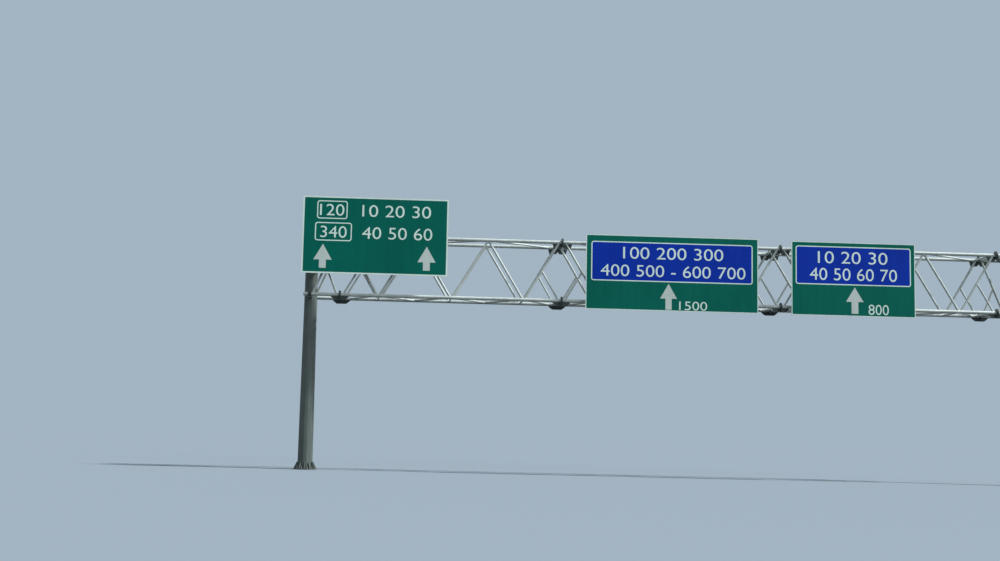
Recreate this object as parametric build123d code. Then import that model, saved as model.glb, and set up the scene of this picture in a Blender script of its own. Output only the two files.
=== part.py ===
from build123d import *
import math
import os

# Overhead sign gantry over one carriageway: two tapered twelve-sided posts carry a box truss of
# round steel tube, built from three flanged sections and two short end bays, with three sign
# panels on its front. Millimetres. X runs along the truss to the right, Y runs away from the
# reader of the signs and Z is up. The origin is the centre of the left base plate's underside.

# Truss, measured between the axes of its four chords
truss_depth = 2260.0
truss_width = 1480.0
bottom_chord_height = 6670.0
section_length = 8500.0
section_count = 3
panels_per_section = 3
panel_inset = 72.0
end_bay_length = 1150.0
chord_overhang = 235.0

# Tubes of the truss, drawn as bars of few sides whose flats are a tube's diameter apart
chord_sides = 8
bar_sides = 6
chord_diameter = 133.0
diagonal_diameter = 89.0
end_strut_diameter = 89.0
brace_diameter = 76.0
substrut_diameter = 76.0

# Where the centre lines of the tubes meet the chord axes, measured from the joint or splice
bottom_node_offset = 28.0
splice_top_offset = 110.0
splice_foot_offset = 120.0
end_strut_setback = 140.0
brace_setback = 330.0

# Bolted splice: a flange on every chord end, with a gusset or a keel plate behind it
flange_diameter = 330.0
flange_thickness = 25.0
flange_sides = 12
plate_thickness = 14.0
gusset_length = 380.0
gusset_foot_start = 70.0
gusset_foot_end = 330.0
gusset_drop = 250.0
keel_length = 335.0
keel_foot_length = 185.0
keel_shoulder_drop = 90.0
keel_drop = 205.0

# Posts, folded from plate
post_sides = 12
post_base_width = 570.0
post_top_width = 455.0
post_above_chord = 330.0
post_wall = 8.0
cap_overhang = 12.0
cap_thickness = 10.0
cap_rise = 45.0
cap_crown_width = 160.0

# Base plates with anchor holes between the ribs
base_plate_width = 900.0
base_plate_thickness = 40.0
anchor_circle = 780.0
anchor_hole_diameter = 42.0
rib_height = 260.0
rib_thickness = 14.0
rib_edge_margin = 30.0
rib_nose_height = 30.0

# Brackets between post and chords, and the collars that grip the chords there
bracket_width = 110.0
bracket_depth = 220.0
bracket_end_depth = 140.0
bracket_wall = 12.0
collar_thickness = 14.0
collar_length = 140.0
collar_ear_width = 45.0
collar_ear_thickness = 36.0
collar_to_diagonal = 45.0

# Sign panels: left edge, right edge, lower edge and upper edge in the plane of the truss
left_sign_edges = (-330.0, 5220.0, 7440.0, 10400.0)
middle_sign_edges = (10530.0, 17185.0, 6355.0, 9240.0)
right_sign_edges = (18485.0, 23310.0, 6350.0, 9210.0)
sign_standoff = 330.0
sheet_thickness = 3.0
rim_depth = 40.0

# Stiffeners across the back of a panel, rails up it and clamps from the rails to the tubes
hat_pitch = 640.0
hat_edge_margin = 130.0
hat_top_width = 50.0
hat_brim_width = 100.0
hat_wall = 3.0
hat_end_gap = 12.0
rail_width = 60.0
rail_depth = 100.0
rail_wall = 6.0
rail_end_margin = 60.0
rail_edge_margin = 150.0
clamp_width = 110.0
clamp_height = 190.0
clamp_wall = 10.0

# Sizes that follow from the ones above
top_chord_height = bottom_chord_height + truss_depth
panel_pitch = (section_length - 2 * panel_inset) / panels_per_section
last_splice_x = end_bay_length + section_count * section_length
span = last_splice_x + end_bay_length
middle_x = span / 2
front_y = -truss_width / 2
rear_y = truss_width / 2
inner_face_y = truss_width / 2 - chord_diameter / 2
post_height = top_chord_height + post_above_chord
sign_face_y = front_y - sign_standoff
sign_back_y = sign_face_y + rim_depth
rail_back_y = sign_back_y + rail_depth
chord_front_y = front_y - chord_diameter / 2
diagonal_front_y = front_y - diagonal_diameter / 2
facet_angle = 360.0 / post_sides

os.makedirs("parts", exist_ok=True)


def save(name, *solids):
    """Write one node: a single solid, or several that do not touch."""
    shape = solids[0] if len(solids) == 1 else Compound(children=list(solids))
    export_step(shape, f"parts/{name}.step")


def fused(pieces):
    """Weld a list of solids into one."""
    return pieces[0].fuse(*pieces[1:])


def bar(start, end, diameter, flat_towards, sides=bar_sides):
    """A tube as a bar of few sides, with one of its flats facing the given direction."""
    run = Vector(*end) - Vector(*start)
    section = RegularPolygon(diameter / 2, sides, major_radius=False, rotation=180 / sides)
    return extrude(Plane(origin=start, x_dir=flat_towards, z_dir=run) * section, run.length)


def chord(x_start, x_end, y, z):
    """A chord tube along X."""
    return bar((x_start, y, z), (x_end, y, z), chord_diameter, (0, 1, 0), chord_sides)


def face_bar(x_start, z_start, x_end, z_end, y, diameter):
    """A tube in the front or rear face of the truss."""
    return bar((x_start, y, z_start), (x_end, y, z_end), diameter, (0, 1, 0))


def level_bar(x_start, y_start, x_end, y_end, z, diameter):
    """A tube in the top or bottom plane of the truss, cut to fit between the chords."""
    whole = bar((x_start, y_start, z), (x_end, y_end, z), diameter, (0, 0, 1))
    between = Pos(middle_x, 0, z) * Box(2 * span, 2 * inner_face_y, 2 * diameter)
    return whole & between


def mirrored(shape):
    """The same shape at the other end of the gantry."""
    return mirror(shape, about=Plane(origin=(middle_x, 0, 0), z_dir=(1, 0, 0)))


def side_plate(points, y):
    """A plate in the plane of a truss face, from its outline in X and Z."""
    outline = make_face(Plane.XZ * Polyline(*points, close=True))
    return Pos(0, y, 0) * extrude(outline, plate_thickness / 2, both=True)


# Truss splices


def splice_x(index):
    """Where the flange faces of a splice meet."""
    return end_bay_length + index * section_length


def flange(x, towards, y, z):
    """A flange that ends a chord at x, with the chord running off in the direction towards."""
    disc = RegularPolygon(flange_diameter / 2, flange_sides, major_radius=False, rotation=180 / flange_sides)
    return extrude(Plane(origin=(x, y, z), x_dir=(0, 1, 0), z_dir=(towards, 0, 0)) * disc, flange_thickness)


def gusset(x, towards, y):
    """The plate under a top chord that holds the diagonal's head behind the flange."""
    outline = [
        (x, top_chord_height),
        (x + towards * gusset_length, top_chord_height),
        (x + towards * gusset_length, top_chord_height - chord_diameter / 2),
        (x + towards * gusset_foot_end, top_chord_height - gusset_drop),
        (x + towards * gusset_foot_start, top_chord_height - gusset_drop),
        (x, top_chord_height - flange_diameter / 2),
    ]
    return side_plate(outline, y)


def keel(x, towards, y):
    """The deep rib under a bottom chord behind the flange."""
    outline = [
        (x, bottom_chord_height),
        (x + towards * keel_length, bottom_chord_height),
        (x + towards * keel_length, bottom_chord_height - keel_shoulder_drop),
        (x + towards * keel_foot_length, bottom_chord_height - keel_drop),
        (x, bottom_chord_height - keel_drop),
    ]
    return side_plate(outline, y)


def chord_ends(x, towards, y):
    """Everything that is welded to the two chords of a face where they end at a splice."""
    return [
        flange(x, towards, y, top_chord_height),
        flange(x, towards, y, bottom_chord_height),
        gusset(x, towards, y),
        keel(x, towards, y),
    ]


# Truss faces


def splice_substrut(x, towards, y, top_x, bottom_x):
    """The short strut from a splice's foot to the middle of the diagonal beside it."""
    middle_height = bottom_chord_height + truss_depth / 2
    foot_x = x + towards * splice_foot_offset
    return face_bar(foot_x, bottom_chord_height, (top_x + bottom_x) / 2, middle_height, y, substrut_diameter)


def upper_points(index, setback):
    """X of the upper joints of a section: even panels, with the two outer joints moved off the splices."""
    first = splice_x(index) + panel_inset
    inner = [first + step * panel_pitch for step in range(1, panels_per_section)]
    return [splice_x(index) + setback, *inner, splice_x(index + 1) - setback]


def lower_points(index):
    """X of the lower joints of a section, halfway between the upper ones."""
    first = splice_x(index) + panel_inset + panel_pitch / 2
    return [first + step * panel_pitch for step in range(panels_per_section)]


def diagonal_ends(index):
    """X of the top and the bottom end of each diagonal of a section, from left to right."""
    upper = upper_points(index, splice_top_offset)
    ends = []
    for panel, lower in enumerate(lower_points(index)):
        ends.append((upper[panel], lower - bottom_node_offset))
        ends.append((upper[panel + 1], lower + bottom_node_offset))
    return ends


def end_diagonal_ends():
    """X of the top and the bottom end of the left end bay's diagonal."""
    return (end_bay_length - splice_top_offset, collar_length / 2 + collar_to_diagonal)


def section_face(index, y):
    """One flat side of a truss section, welded up as one piece."""
    left = splice_x(index)
    right = splice_x(index + 1)
    ends = diagonal_ends(index)
    pieces = [chord(left, right, y, bottom_chord_height), chord(left, right, y, top_chord_height)]
    for top_x, bottom_x in ends:
        pieces.append(face_bar(bottom_x, bottom_chord_height, top_x, top_chord_height, y, diagonal_diameter))
    pieces.append(splice_substrut(left, 1, y, *ends[0]))
    pieces.append(splice_substrut(right, -1, y, *ends[-1]))
    pieces += chord_ends(left, 1, y)
    pieces += chord_ends(right, -1, y)
    return fused(pieces)


def left_end_face(y):
    """One flat side of the short bay between the left post and the first splice."""
    top_x, bottom_x = end_diagonal_ends()
    pieces = [
        chord(-chord_overhang, end_bay_length, y, bottom_chord_height),
        chord(-chord_overhang, end_bay_length, y, top_chord_height),
        face_bar(bottom_x, bottom_chord_height, top_x, top_chord_height, y, diagonal_diameter),
        splice_substrut(end_bay_length, -1, y, top_x, bottom_x),
    ]
    return fused(pieces + chord_ends(end_bay_length, -1, y))


# Bracing between the two faces


def cross_bar(x, z, diameter):
    """A tube straight across, from the front chord to the rear one."""
    return level_bar(x, front_y, x, rear_y, z, diameter)


def end_struts(index, z):
    """The cross bars that close the two ends of a section at one level."""
    places = (splice_x(index) + end_strut_setback, splice_x(index + 1) - end_strut_setback)
    return [cross_bar(x, z, end_strut_diameter) for x in places]


def top_bracing(index):
    """One long diagonal in every panel, running from chord to chord, and the two end struts."""
    pieces = end_struts(index, top_chord_height)
    nodes = upper_points(index, brace_setback)
    for panel in range(panels_per_section):
        side = front_y if panel % 2 == 0 else rear_y
        pieces.append(
            level_bar(nodes[panel], side, nodes[panel + 1], -side, top_chord_height, brace_diameter)
        )
    return pieces


def bottom_bracing(index):
    """A zigzag from the rear chord to every front node and back, with a cross bar at each node."""
    pieces = end_struts(index, bottom_chord_height)
    rear_points = upper_points(index, brace_setback)
    for panel, node in enumerate(lower_points(index)):
        star = [cross_bar(node, bottom_chord_height, brace_diameter)]
        for rear_x in rear_points[panel : panel + 2]:
            star.append(level_bar(node, front_y, rear_x, rear_y, bottom_chord_height, brace_diameter))
        pieces.append(fused(star))
    return pieces


# Posts


def post_width(z):
    """Width of the post across its flats at a height."""
    share = (z - base_plate_thickness) / (post_height - base_plate_thickness)
    return post_base_width + share * (post_top_width - post_base_width)


def post_section(width, z):
    """The twelve-sided outline of the post, with flats that face X and Y."""
    outline = RegularPolygon(width / 2, post_sides, major_radius=False, rotation=facet_angle / 2)
    return Pos(0, 0, z) * outline


def tapered(low_width, low_z, high_width, high_z):
    """A solid of the post's outline that tapers from one width to another."""
    rise = high_z - low_z
    lean = math.degrees(math.atan((low_width - high_width) / 2 / rise))
    return extrude(post_section(low_width, low_z), rise, taper=lean)


def post_shaft():
    """The folded and tapered tube, open at both ends under the cap and over the base plate."""
    foot = base_plate_thickness
    foot_width = post_width(foot)
    head_width = post_width(post_height)
    outer = tapered(foot_width, foot, head_width, post_height)
    inner = tapered(foot_width - 2 * post_wall, foot, head_width - 2 * post_wall, post_height)
    return outer - inner


def post_cap():
    """A plate with a low pyramid that sheds the rain."""
    width = post_width(post_height) + 2 * cap_overhang
    plate = extrude(post_section(width, post_height), cap_thickness)
    crown_foot = post_height + cap_thickness
    return plate + tapered(width, crown_foot, cap_crown_width, crown_foot + cap_rise)


def base_plate():
    """The anchor plate, with a hole between every two ribs."""
    plate = extrude(post_section(base_plate_width, 0), base_plate_thickness)
    holes = PolarLocations(anchor_circle / 2, post_sides, start_angle=facet_angle / 2)
    drill = Cylinder(anchor_hole_diameter / 2, 3 * base_plate_thickness)
    return plate - [place * drill for place in holes]


def base_rib():
    """A rib from the post's flat to the edge of the base plate, before it is turned into place."""
    foot = base_plate_thickness
    head = foot + rib_height
    outer = base_plate_width / 2 - rib_edge_margin
    outline = [
        (post_width(foot) / 2, foot),
        (outer, foot),
        (outer, foot + rib_nose_height),
        (post_width(head) / 2 + rib_nose_height, head),
        (post_width(head) / 2, head),
    ]
    return extrude(make_face(Plane.XZ * Polyline(*outline, close=True)), rib_thickness / 2, both=True)


def base_ribs():
    """One rib on every flat of the post."""
    return [Rot(0, 0, turn * facet_angle) * base_rib() for turn in range(post_sides)]


# Brackets and collars at the posts


def bracket_side(z, inset):
    """The outline of a bracket seen from its side, drawn in from its top and bottom by inset."""
    end_y = inner_face_y - collar_thickness
    upper_root = z + bracket_depth / 2
    lower_root = z - bracket_depth / 2
    outline = [
        (post_width(lower_root) / 2, lower_root + inset),
        (end_y, z - bracket_end_depth / 2 + inset),
        (end_y, z + bracket_end_depth / 2 - inset),
        (post_width(upper_root) / 2, upper_root - inset),
    ]
    return make_face(Plane.YZ * Polyline(*outline, close=True))


def bracket(z):
    """A welded box bracket from the post's rear flat to the collar of the rear chord."""
    box = extrude(bracket_side(z, 0), bracket_width / 2, both=True)
    return box - extrude(bracket_side(z, bracket_wall), bracket_width / 2 - bracket_wall, both=True)


def collar(z):
    """The split collar round the rear chord at the post."""
    half = collar_length / 2
    width = chord_diameter + 2 * collar_thickness
    ring = bar((-half, rear_y, z), (half, rear_y, z), width, (0, 1, 0), chord_sides)
    ears = Pos(0, rear_y, z) * Box(collar_length, collar_ear_thickness, width + 2 * collar_ear_width)
    return ring + ears - chord(-collar_length, collar_length, rear_y, z)


def both_faces(shape):
    """The shape and its twin on the front face."""
    return [shape, mirror(shape, about=Plane.XZ)]


# Signs


def rail_places(edges):
    """X of each rail: the middles of the diagonals that the sign covers."""
    middles = [sum(end_diagonal_ends()) / 2]
    for index in range(section_count):
        middles += [(top_x + bottom_x) / 2 for top_x, bottom_x in diagonal_ends(index)]
    return [x for x in middles if edges[0] + rail_edge_margin < x < edges[1] - rail_edge_margin]


def sign_panel(edges):
    """A sheet with its edges folded back."""
    left, right, bottom, top = edges
    width = right - left
    height = top - bottom
    centre = ((left + right) / 2, sign_face_y + rim_depth / 2, (bottom + top) / 2)
    tray = Box(width, rim_depth, height)
    recess = Box(width - 2 * sheet_thickness, rim_depth, height - 2 * sheet_thickness)
    return Pos(*centre) * (tray - Pos(0, sheet_thickness, 0) * recess)


def hat_stiffener(left, right, z):
    """A hat-shaped stiffener along X, with its brims on the back of the sheet."""
    depth = rim_depth - sheet_thickness
    brim = hat_brim_width / 2
    crown = hat_top_width / 2
    inside = crown - hat_wall
    outline = [
        (0, brim),
        (0, inside),
        (depth - hat_wall, inside),
        (depth - hat_wall, -inside),
        (0, -inside),
        (0, -brim),
        (hat_wall, -brim),
        (hat_wall, -crown),
        (depth, -crown),
        (depth, crown),
        (hat_wall, crown),
        (hat_wall, brim),
    ]
    start = left + sheet_thickness + hat_end_gap
    length = right - left - 2 * (sheet_thickness + hat_end_gap)
    plane = Plane(origin=(start, sign_face_y + sheet_thickness, z), x_dir=(0, 1, 0), z_dir=(1, 0, 0))
    return extrude(plane * make_face(Polyline(*outline, close=True)), length)


def hat_heights(bottom, top):
    """Even heights for the stiffeners, no further apart than the pitch."""
    first = bottom + hat_edge_margin
    last = top - hat_edge_margin
    gaps = math.ceil((last - first) / hat_pitch)
    return [first + step * (last - first) / gaps for step in range(gaps + 1)]


def rail(x, bottom, top):
    """An upright channel on the back of the stiffeners."""
    half = rail_width / 2
    outline = [
        (-half, 0),
        (half, 0),
        (half, rail_wall),
        (-half + rail_wall, rail_wall),
        (-half + rail_wall, rail_depth - rail_wall),
        (half, rail_depth - rail_wall),
        (half, rail_depth),
        (-half, rail_depth),
    ]
    plane = Plane(origin=(x, sign_back_y, bottom + rail_end_margin), x_dir=(1, 0, 0), z_dir=(0, 0, 1))
    return extrude(plane * make_face(Polyline(*outline, close=True)), top - bottom - 2 * rail_end_margin)


def clamp(x, z, tube_front_y):
    """A short I-shaped bracket between a rail and the front flat of a tube."""
    half = clamp_width / 2
    web = clamp_wall / 2
    reach = tube_front_y - rail_back_y
    outline = [
        (-half, 0),
        (half, 0),
        (half, clamp_wall),
        (web, clamp_wall),
        (web, reach - clamp_wall),
        (half, reach - clamp_wall),
        (half, reach),
        (-half, reach),
        (-half, reach - clamp_wall),
        (-web, reach - clamp_wall),
        (-web, clamp_wall),
        (-half, clamp_wall),
    ]
    plane = Plane(origin=(x, rail_back_y, z - clamp_height / 2), x_dir=(1, 0, 0), z_dir=(0, 0, 1))
    return extrude(plane * make_face(Polyline(*outline, close=True)), clamp_height)


def sign_clamps(edges):
    """Clamps on the top chord, and on the bottom chord or else on the middles of the diagonals."""
    if edges[2] < bottom_chord_height:
        lower_height = bottom_chord_height
        lower_front_y = chord_front_y
    else:
        lower_height = bottom_chord_height + truss_depth / 2
        lower_front_y = diagonal_front_y
    clamps = []
    for x in rail_places(edges):
        clamps.append(clamp(x, top_chord_height, chord_front_y))
        clamps.append(clamp(x, lower_height, lower_front_y))
    return clamps


def save_sign(name, edges):
    """Write the four nodes of one sign."""
    left, right, bottom, top = edges
    save(f"{name}_sign_panel", sign_panel(edges))
    save(f"{name}_sign_stiffeners", *[hat_stiffener(left, right, z) for z in hat_heights(bottom, top)])
    save(f"{name}_sign_rails", *[rail(x, bottom, top) for x in rail_places(edges)])
    save(f"{name}_sign_clamps", *sign_clamps(edges))


def save_post(name, place):
    """Write the nodes of one post, put where the function place says."""
    save(f"{name}_post_shaft", place(post_shaft()))
    save(f"{name}_post_cap", place(post_cap()))
    save(f"{name}_base_plate", place(base_plate()))
    save(f"{name}_base_ribs", *[place(rib) for rib in base_ribs()])
    levels = (bottom_chord_height, top_chord_height)
    save(f"{name}_post_brackets", *[place(twin) for z in levels for twin in both_faces(bracket(z))])
    save(f"{name}_chord_collars", *[place(twin) for z in levels for twin in both_faces(collar(z))])
    save(f"{name}_end_front_face", place(left_end_face(front_y)))
    save(f"{name}_end_rear_face", place(left_end_face(rear_y)))
    strut_x = end_bay_length - end_strut_setback
    save(f"{name}_end_struts", *[place(cross_bar(strut_x, z, end_strut_diameter)) for z in levels])


save_post("left", lambda shape: shape)
save_post("right", mirrored)
for section in range(section_count):
    save(f"section_{section + 1}_front_face", section_face(section, front_y))
    save(f"section_{section + 1}_rear_face", section_face(section, rear_y))
    save(f"section_{section + 1}_top_bracing", *top_bracing(section))
    save(f"section_{section + 1}_bottom_bracing", *bottom_bracing(section))
save_sign("left", left_sign_edges)
save_sign("middle", middle_sign_edges)
save_sign("right", right_sign_edges)
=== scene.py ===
# %% [markdown]
# # Dressing an overhead sign gantry
#
# The solid model already holds the sizes of this gantry: two tapered posts, a box truss of steel
# tube in three bolted sections, and three sign panels on its front. This lesson gives it the look
# of the real thing. The bars of few sides become round galvanised tubes with welded joints, the
# splices get their bolts, and the panels get their reflective film. Everything is placed from the
# model, so nothing has to be fitted afterwards.

# %% Load the model and keep its box
import math

import bmesh
import bpy
from mathutils import Matrix, Vector


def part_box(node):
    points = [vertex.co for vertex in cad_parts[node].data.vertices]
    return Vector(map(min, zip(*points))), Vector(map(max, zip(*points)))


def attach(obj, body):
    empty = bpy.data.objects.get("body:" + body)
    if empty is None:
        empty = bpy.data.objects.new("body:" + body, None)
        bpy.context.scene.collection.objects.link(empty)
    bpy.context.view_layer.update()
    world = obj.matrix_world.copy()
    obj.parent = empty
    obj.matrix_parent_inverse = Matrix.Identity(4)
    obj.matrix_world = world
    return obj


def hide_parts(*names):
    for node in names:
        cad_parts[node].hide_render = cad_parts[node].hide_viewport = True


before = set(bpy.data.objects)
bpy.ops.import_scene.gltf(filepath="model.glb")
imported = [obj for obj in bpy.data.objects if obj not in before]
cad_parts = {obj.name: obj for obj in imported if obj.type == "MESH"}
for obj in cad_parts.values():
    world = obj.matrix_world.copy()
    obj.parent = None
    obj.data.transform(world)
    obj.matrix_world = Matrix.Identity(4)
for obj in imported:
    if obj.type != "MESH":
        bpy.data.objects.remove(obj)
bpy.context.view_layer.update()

# %% [markdown]
# ## Reading the main places
#
# A truss is drawn with centre lines, so the first step is to find them. The bracing nodes lie at
# the height of the chords, and each truss face is flat, so the middle of its box is its plane. The
# splices are the two ends of each section's box. Reading them here means that the scene still fits
# when somebody changes the solid model.

# %% Centre lines of the truss
def middle(node):
    """The middle of a node's box."""
    low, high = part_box(node)
    return (low + high) / 2


section_names = [f"section_{number}" for number in (1, 2, 3)]
sign_names = ["left", "middle", "right"]

top_height = middle("section_1_top_bracing").z
bottom_height = middle("section_1_bottom_bracing").z
middle_height = (top_height + bottom_height) / 2
front_y = middle("section_1_front_face").y
rear_y = middle("section_1_rear_face").y
face_planes = {"front": front_y, "rear": rear_y}
chord_lines = [(y, z) for y in (front_y, rear_y) for z in (bottom_height, top_height)]
splices = [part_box(f"{name}_front_face")[0].x for name in section_names]
splices.append(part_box("section_3_front_face")[1].x)
section_length = splices[1] - splices[0]
end_bay_length = splices[0]
span = splices[0] + splices[-1]
left_overhang = -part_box("left_end_front_face")[0].x
print("chords at", round(bottom_height, 3), round(top_height, 3))
print("splices at", [round(x, 2) for x in splices])

# %% [markdown]
# ## Sizes of the tubes
#
# These are the outside diameters of common steel tubes, the same as in the solid model. The chords
# are the heavy lines of the truss, the diagonals are two thirds of that, and the braces and the
# short struts that hold the splices are a size thinner. Centre lines seldom meet in one point: the
# offsets say how far apart they are, so that the welds don't run into each other. A section has
# three even panels, laid out between two lines that are set in a little from its splices.

# %% Tube sizes and the layout of a section
chord_diameter = 0.133
diagonal_diameter = 0.089
brace_diameter = 0.076
chord_sides = 32
tube_sides = 20
splice_top_offset = 0.110
splice_foot_offset = 0.120
bottom_node_offset = 0.028
end_strut_setback = 0.140
brace_setback = 0.330
chord_radius = chord_diameter / 2

panel_inset = 0.072
panel_pitch = (section_length - 2 * panel_inset) / 3
lower_points = [panel_inset + (panel + 0.5) * panel_pitch for panel in range(3)]
print("lower joints of a section at", [round(x, 3) for x in lower_points])


def upper_points(setback):
    """X of the upper joints of a section from its left splice, with the outer two moved off the splices."""
    inner = [panel_inset + step * panel_pitch for step in (1, 2)]
    return [setback, *inner, section_length - setback]


# %% [markdown]
# ## A few small helpers
#
# Nearly every piece here is built the same way. A bmesh is an editable mesh in memory. Operators
# add shapes to it, and at the end it becomes an object that rides on the frame. `stamp` copies a
# finished shape into another one at a new place, which is how one bolt becomes a hundred. `join`
# adds a part that was made in a bmesh of its own: an operator may reuse the slots of points that it
# removed, so picking out the newest points of a large bmesh isn't safe. Smooth shading with sharp
# edges above an angle makes a tube look round and a plate look crisp.

# %% Start, stamp and finish a piece
crease_angle = math.radians(35)


def finished_mesh(bm, name):
    """Turn a bmesh into a mesh with smooth faces and sharp edges above the crease angle."""
    bmesh.ops.recalc_face_normals(bm, faces=bm.faces)
    mesh = bpy.data.meshes.new(name)
    bm.to_mesh(mesh)
    bm.free()
    mesh.shade_smooth()
    mesh.set_sharp_from_angle(angle=crease_angle)
    return mesh


def stamp(bm, shape, place):
    """Copy a mesh into a bmesh at a place given as a matrix."""
    copied = shape.copy()
    copied.transform(place)
    bm.from_mesh(copied)
    bpy.data.meshes.remove(copied)


def join(bm, part):
    """Add a part that was made in a bmesh of its own."""
    mesh = bpy.data.meshes.new("part")
    part.to_mesh(mesh)
    part.free()
    bm.from_mesh(mesh)
    bpy.data.meshes.remove(mesh)


def add_object(name, data):
    """Put an object with this data into the scene."""
    made = bpy.data.objects.new(name, data)
    bpy.context.scene.collection.objects.link(made)
    return made


def show(bm, name, finish, replaced=()):
    """Make a piece of the gantry from a bmesh that is already in place."""
    mesh = finished_mesh(bm, name)
    mesh.materials.clear()
    mesh.materials.append(finish)
    piece = add_object(name, mesh)
    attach(piece, "root")
    if replaced:
        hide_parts(*replaced)
    print(name, len(mesh.polygons), "faces")
    return piece


def show_copies(shape, places, name, finish, replaced=()):
    """Make a piece from copies of one shape, one at each place."""
    bm = bmesh.new()
    for place in places:
        stamp(bm, shape, place)
    return show(bm, name, finish, replaced)


def at(x, y, z):
    """A place without any turn."""
    return Matrix.Translation((x, y, z))


def rotated(degrees, axis):
    """A turn about the X, Y or Z axis."""
    return Matrix.Rotation(math.radians(degrees), 4, axis)


print("edges sharper than", round(math.degrees(crease_angle)), "degrees stay crisp")

# %% [markdown]
# ## Node materials, one line at a time
#
# A material is a small graph. Writing each node as one call keeps the graph readable: an input gets
# either a value or the output of another node. A few helpers cover what every finish here needs:
# soft patterns read from the object's own coordinates, and blends of two colours. Object
# coordinates are in metres, so a scale of 60 on a cell pattern means about 60 cells in a metre.

# %% Nodes and a new material
def set_inputs(node, values):
    """Give inputs of a node, by name or number, a value or the output of another node."""
    for name, value in values.items():
        if isinstance(value, bpy.types.NodeSocket):
            node.id_data.links.new(value, node.inputs[name])
        else:
            node.inputs[name].default_value = value


def add_node(tree, kind, values=None, **settings):
    """Add one shader node with its options and its inputs."""
    node = tree.nodes.new("ShaderNode" + kind)
    for name, value in settings.items():
        setattr(node, name, value)
    set_inputs(node, values or {})
    return node


def new_material(name):
    """A material with an empty shader, and its object coordinates."""
    material = bpy.data.materials.new(name)
    material.use_nodes = True
    tree = material.node_tree
    shader = tree.nodes["Principled BSDF"]
    place = add_node(tree, "TexCoord").outputs["Object"]
    return material, tree, shader, place


print("a node is now one call")

# %% Patterns, blends and bumps
def stretched(tree, place, scale):
    """Object coordinates scaled by a different amount along each axis."""
    return add_node(tree, "Mapping", {"Vector": place, "Scale": scale}).outputs["Vector"]


def noise(tree, place, scale, detail=3.0):
    """Soft noise between 0 and 1."""
    return add_node(tree, "TexNoise", {"Vector": place, "Scale": scale, "Detail": detail}).outputs["Fac"]


def cells(tree, place, scale, output="Color"):
    """Cells with a random value each."""
    return add_node(tree, "TexVoronoi", {"Vector": place, "Scale": scale}).outputs[output]


def ramp(tree, source, low, high, low_colour, high_colour):
    """Turn a value between low and high into a colour between two colours."""
    node = add_node(tree, "ValToRGB", {"Fac": source})
    stops = ((low, low_colour), (high, high_colour))
    for element, (position, colour) in zip(node.color_ramp.elements, stops):
        element.position = position
        element.color = (*colour, 1)
    return node.outputs["Color"]


def marks(tree, place, scale, detail, low, high, darkest):
    """Soft marks from a grey up to white, to multiply a colour with."""
    return ramp(tree, noise(tree, place, scale, detail), low, high, 3 * [darkest], 3 * [1.0])


def spread(tree, source, to_low, to_high):
    """Map the middle of a noise, from 0.3 to 0.7, to another range."""
    limits = {"From Min": 0.3, "From Max": 0.7, "To Min": to_low, "To Max": to_high}
    return add_node(tree, "MapRange", {"Value": source, **limits}).outputs["Result"]


def multiplied(tree, first, second, amount):
    """Multiply two colours, or part of the way. A colour mix has them in its inputs 6 and 7."""
    values = {"Factor": amount, 6: first, 7: second}
    return add_node(tree, "Mix", values, data_type="RGBA", blend_type="MULTIPLY").outputs[2]


def bumped(tree, height, strength, distance):
    """The normal of a surface that a height pattern tilts."""
    values = {"Height": height, "Strength": strength, "Distance": distance}
    return add_node(tree, "Bump", values).outputs["Normal"]


def shade(colour, amount):
    """A colour made darker or lighter."""
    return [amount * channel for channel in colour]


print("patterns and blends ready")

# %% [markdown]
# ## Zinc
#
# Hot-dip galvanised steel starts as a bright metal with crystals the size of a coin. Outdoors a
# skin of zinc salts grows on it, which is matt, slightly green and hardly metallic any more, and
# rain leaves paler and darker streaks. One function makes every zinc finish: cells for the
# crystals, a slow noise for the weathering and a second one, stretched downwards, for the rain
# marks. The plates and the posts are the same zinc as the truss, but they get a much darker colour:
# painted shade, as if they stood in shadow. The bolts still have some of their shine.

# %% Zinc finishes
def zinc(name, colour, crystal, roughness, metallic, streaks):
    """A galvanised finish around one colour, with crystals of a size and rain marks of a strength."""
    material, tree, shader, place = new_material(name)
    grains = cells(tree, place, 1 / crystal)
    crystals = ramp(tree, grains, 0.15, 0.9, shade(colour, 0.90), shade(colour, 1.06))
    weather = marks(tree, place, 1.3, 5.0, 0.35, 0.68, 0.80)
    rain = marks(tree, stretched(tree, place, (9, 9, 0.7)), 1.0, 4.0, 0.36, 0.62, 0.76)
    set_inputs(shader, {
        "Base Color": multiplied(tree, multiplied(tree, crystals, weather, 0.8), rain, streaks),
        "Roughness": spread(tree, noise(tree, place, 7.0), roughness - 0.07, roughness + 0.09),
        "Normal": bumped(tree, noise(tree, place, 220.0, 2.0), 0.12, 0.001),
        "Metallic": metallic,
        "Specular IOR Level": 0.3,
    })
    return material


truss_zinc = zinc("truss_zinc", (0.550, 0.630, 0.618), 0.012, 0.45, 0.08, 0.6)
# The plate colour is painted shade: far darker than the same zinc on the tubes.
plate_zinc_painted_shade = zinc("plate_zinc_painted_shade", (0.060, 0.080, 0.076), 0.012, 0.50, 0.10, 0.7)
# The post colour is painted shade too: darker than the same zinc on the truss.
post_zinc_painted_shade = zinc("post_zinc_painted_shade", (0.120, 0.151, 0.144), 0.013, 0.52, 0.12, 0.8)
rail_zinc = zinc("rail_zinc", (0.50, 0.53, 0.52), 0.011, 0.42, 0.30, 0.4)
bolt_zinc = zinc("bolt_zinc", (0.205, 0.232, 0.226), 0.004, 0.36, 0.50, 0.2)
print("zinc finishes made")

# %% [markdown]
# ## Reflective film and bare sheet
#
# The faces of the panels are covered with film that is printed or cut in one flat colour. It is a
# smooth plastic with fine beads inside, so it has little gloss and no grain that shows from a
# distance, but rain leaves faint dust marks that run down and the colour fades unevenly. The back
# of a panel is bare aluminium sheet, with the fine brushed lines of the mill running along it.

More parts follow.
